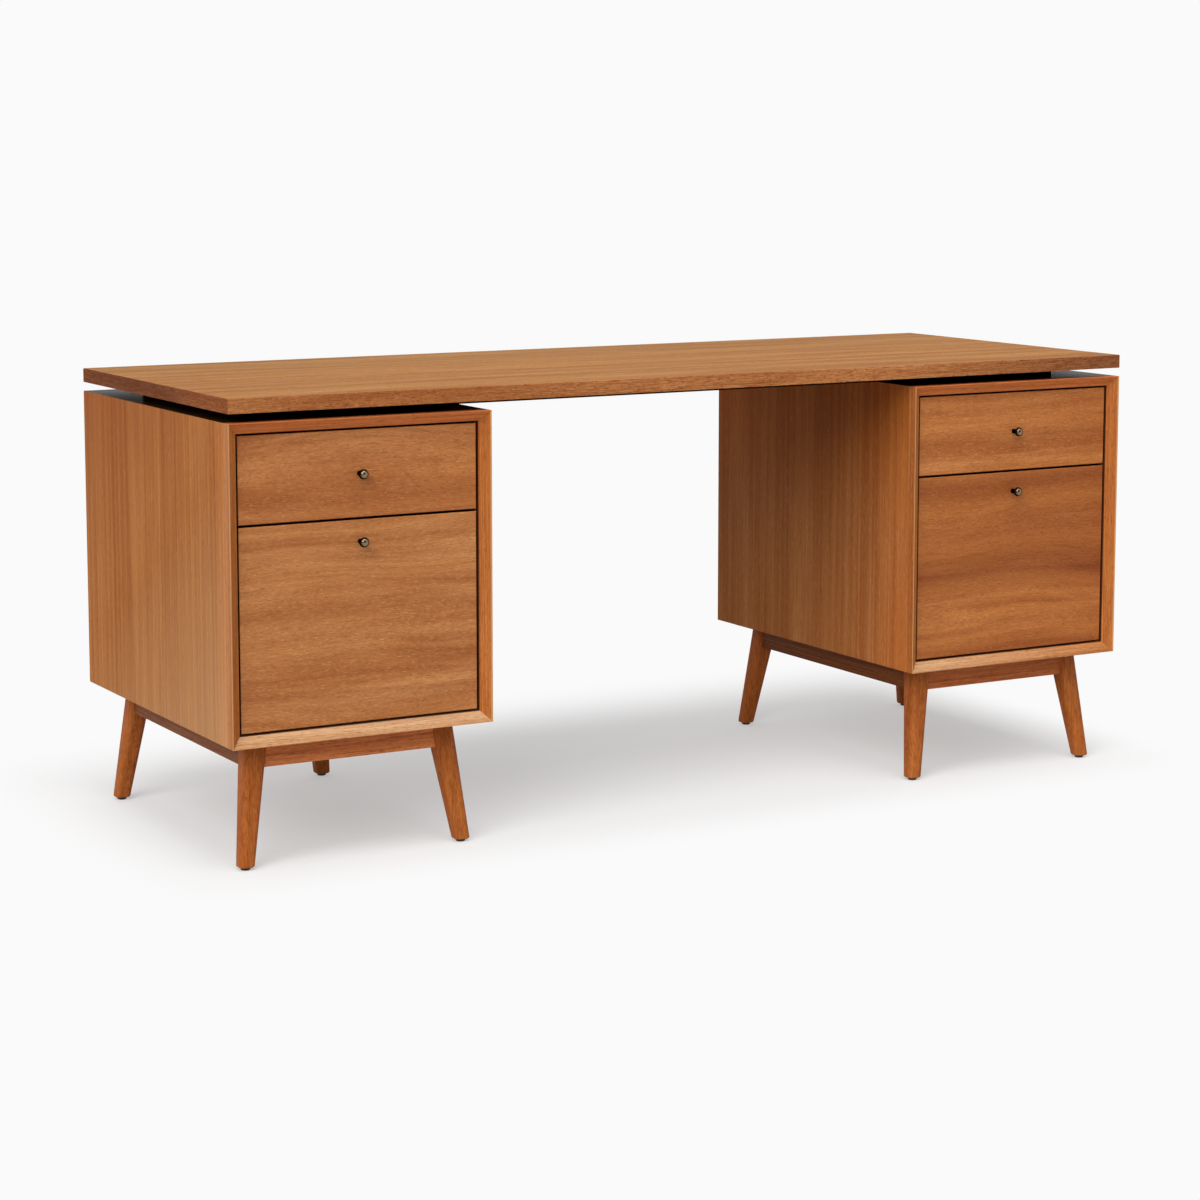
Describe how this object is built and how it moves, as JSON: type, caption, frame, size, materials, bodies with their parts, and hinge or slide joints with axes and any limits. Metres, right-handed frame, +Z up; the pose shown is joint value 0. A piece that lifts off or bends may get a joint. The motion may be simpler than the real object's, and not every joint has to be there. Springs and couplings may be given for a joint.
{
  "type": "executive desk",
  "caption": "Double-pedestal wooden desk: a floating top on bevel-edged drawer cases with splayed tapered legs; drawers slide on telescopic runners.",
  "frame": {"origin": "on the floor under the middle of the desk's whole box, knobs included", "axes": "+X along the desk to the user's right, +Y from the drawer side to the back, +Z up"},
  "size_m": [1.766, 0.667, 0.762],
  "materials": {
    "top_veneer": "satin lacquered veneer",
    "case_veneer": "satin lacquered veneer",
    "front_veneer": "satin lacquered veneer",
    "solid_wood": "satin lacquered solid wood",
    "leg_wood": "satin lacquered solid wood",
    "frame_wood": "planed, unfinished",
    "drawer_wood": "clear lacquered",
    "knob_bronze": "antique bronze",
    "runner_steel": "zinc plated",
    "foot_plastic": "moulded"
  },
  "bodies": {
    "desk_frame": {"desktop_panel": "top_veneer", "desktop_edging": "solid_wood", "riser_panel": "case_veneer", "corner_blocks": "frame_wood", "left_case_outer_side": "case_veneer", "left_case_inner_side": "case_veneer", "left_case_top": "case_veneer", "left_case_bottom": "case_veneer", "left_case_back": "case_veneer", "left_case_edging": "solid_wood", "left_legs": "leg_wood", "left_base_rails": "leg_wood", "left_outer_runners": "runner_steel", "right_case_outer_side": "case_veneer", "right_case_inner_side": "case_veneer", "right_case_top": "case_veneer", "right_case_bottom": "case_veneer", "right_case_back": "case_veneer", "right_case_edging": "solid_wood", "right_legs": "leg_wood", "right_base_rails": "leg_wood", "right_outer_runners": "runner_steel"},
    "left_upper_drawer": {"left_upper_drawer_front": "front_veneer", "left_upper_drawer_knob": "knob_bronze", "left_upper_drawer_sides": "drawer_wood", "left_upper_drawer_ends": "drawer_wood", "left_upper_drawer_bottom": "drawer_wood", "left_upper_drawer_inner_runners": "runner_steel"},
    "left_upper_runner_carriage": {"left_upper_drawer_middle_runners": "runner_steel"},
    "left_lower_drawer": {"left_lower_drawer_front": "front_veneer", "left_lower_drawer_knob": "knob_bronze", "left_lower_drawer_sides": "drawer_wood", "left_lower_drawer_ends": "drawer_wood", "left_lower_drawer_bottom": "drawer_wood", "left_lower_drawer_inner_runners": "runner_steel", "left_lower_drawer_file_bars": "runner_steel"},
    "left_lower_runner_carriage": {"left_lower_drawer_middle_runners": "runner_steel"},
    "left_front_outer_leveller": {"left_front_outer_foot": "foot_plastic"},
    "left_front_inner_leveller": {"left_front_inner_foot": "foot_plastic"},
    "left_back_outer_leveller": {"left_back_outer_foot": "foot_plastic"},
    "left_back_inner_leveller": {"left_back_inner_foot": "foot_plastic"},
    "right_upper_drawer": {"right_upper_drawer_front": "front_veneer", "right_upper_drawer_knob": "knob_bronze", "right_upper_drawer_sides": "drawer_wood", "right_upper_drawer_ends": "drawer_wood", "right_upper_drawer_bottom": "drawer_wood", "right_upper_drawer_inner_runners": "runner_steel"},
    "right_upper_runner_carriage": {"right_upper_drawer_middle_runners": "runner_steel"},
    "right_lower_drawer": {"right_lower_drawer_front": "front_veneer", "right_lower_drawer_knob": "knob_bronze", "right_lower_drawer_sides": "drawer_wood", "right_lower_drawer_ends": "drawer_wood", "right_lower_drawer_bottom": "drawer_wood", "right_lower_drawer_inner_runners": "runner_steel", "right_lower_drawer_file_bars": "runner_steel"},
    "right_lower_runner_carriage": {"right_lower_drawer_middle_runners": "runner_steel"},
    "right_front_outer_leveller": {"right_front_outer_foot": "foot_plastic"},
    "right_front_inner_leveller": {"right_front_inner_foot": "foot_plastic"},
    "right_back_outer_leveller": {"right_back_outer_foot": "foot_plastic"},
    "right_back_inner_leveller": {"right_back_inner_foot": "foot_plastic"}
  },
  "joints": [
    {"name": "left_upper_drawer_slide", "type": "slide", "parent": "desk_frame", "child": "left_upper_drawer", "axis": [0, -1, 0], "range_m": [0, 0.48]},
    {"name": "left_upper_runner_carriage_slide", "type": "slide", "parent": "desk_frame", "child": "left_upper_runner_carriage", "axis": [0, -1, 0], "range_m": [0, 0.24]},
    {"name": "left_lower_drawer_slide", "type": "slide", "parent": "desk_frame", "child": "left_lower_drawer", "axis": [0, -1, 0], "range_m": [0, 0.48]},
    {"name": "left_lower_runner_carriage_slide", "type": "slide", "parent": "desk_frame", "child": "left_lower_runner_carriage", "axis": [0, -1, 0], "range_m": [0, 0.24]},
    {"name": "left_front_outer_leveller_screw", "type": "slide", "parent": "desk_frame", "child": "left_front_outer_leveller", "axis": [0, 0, -1], "range_m": [0, 0.01]},
    {"name": "left_front_inner_leveller_screw", "type": "slide", "parent": "desk_frame", "child": "left_front_inner_leveller", "axis": [0, 0, -1], "range_m": [0, 0.01]},
    {"name": "left_back_outer_leveller_screw", "type": "slide", "parent": "desk_frame", "child": "left_back_outer_leveller", "axis": [0, 0, -1], "range_m": [0, 0.01]},
    {"name": "left_back_inner_leveller_screw", "type": "slide", "parent": "desk_frame", "child": "left_back_inner_leveller", "axis": [0, 0, -1], "range_m": [0, 0.01]},
    {"name": "right_upper_drawer_slide", "type": "slide", "parent": "desk_frame", "child": "right_upper_drawer", "axis": [0, -1, 0], "range_m": [0, 0.48]},
    {"name": "right_upper_runner_carriage_slide", "type": "slide", "parent": "desk_frame", "child": "right_upper_runner_carriage", "axis": [0, -1, 0], "range_m": [0, 0.24]},
    {"name": "right_lower_drawer_slide", "type": "slide", "parent": "desk_frame", "child": "right_lower_drawer", "axis": [0, -1, 0], "range_m": [0, 0.48]},
    {"name": "right_lower_runner_carriage_slide", "type": "slide", "parent": "desk_frame", "child": "right_lower_runner_carriage", "axis": [0, -1, 0], "range_m": [0, 0.24]},
    {"name": "right_front_outer_leveller_screw", "type": "slide", "parent": "desk_frame", "child": "right_front_outer_leveller", "axis": [0, 0, -1], "range_m": [0, 0.01]},
    {"name": "right_front_inner_leveller_screw", "type": "slide", "parent": "desk_frame", "child": "right_front_inner_leveller", "axis": [0, 0, -1], "range_m": [0, 0.01]},
    {"name": "right_back_outer_leveller_screw", "type": "slide", "parent": "desk_frame", "child": "right_back_outer_leveller", "axis": [0, 0, -1], "range_m": [0, 0.01]},
    {"name": "right_back_inner_leveller_screw", "type": "slide", "parent": "desk_frame", "child": "right_back_inner_leveller", "axis": [0, 0, -1], "range_m": [0, 0.01]}
  ],
  "couplings": [
    {"joint": "left_upper_runner_carriage_slide", "follows": "left_upper_drawer_slide", "ratio": 0.5},
    {"joint": "left_lower_runner_carriage_slide", "follows": "left_lower_drawer_slide", "ratio": 0.5},
    {"joint": "right_upper_runner_carriage_slide", "follows": "right_upper_drawer_slide", "ratio": 0.5},
    {"joint": "right_lower_runner_carriage_slide", "follows": "right_lower_drawer_slide", "ratio": 0.5}
  ]
}
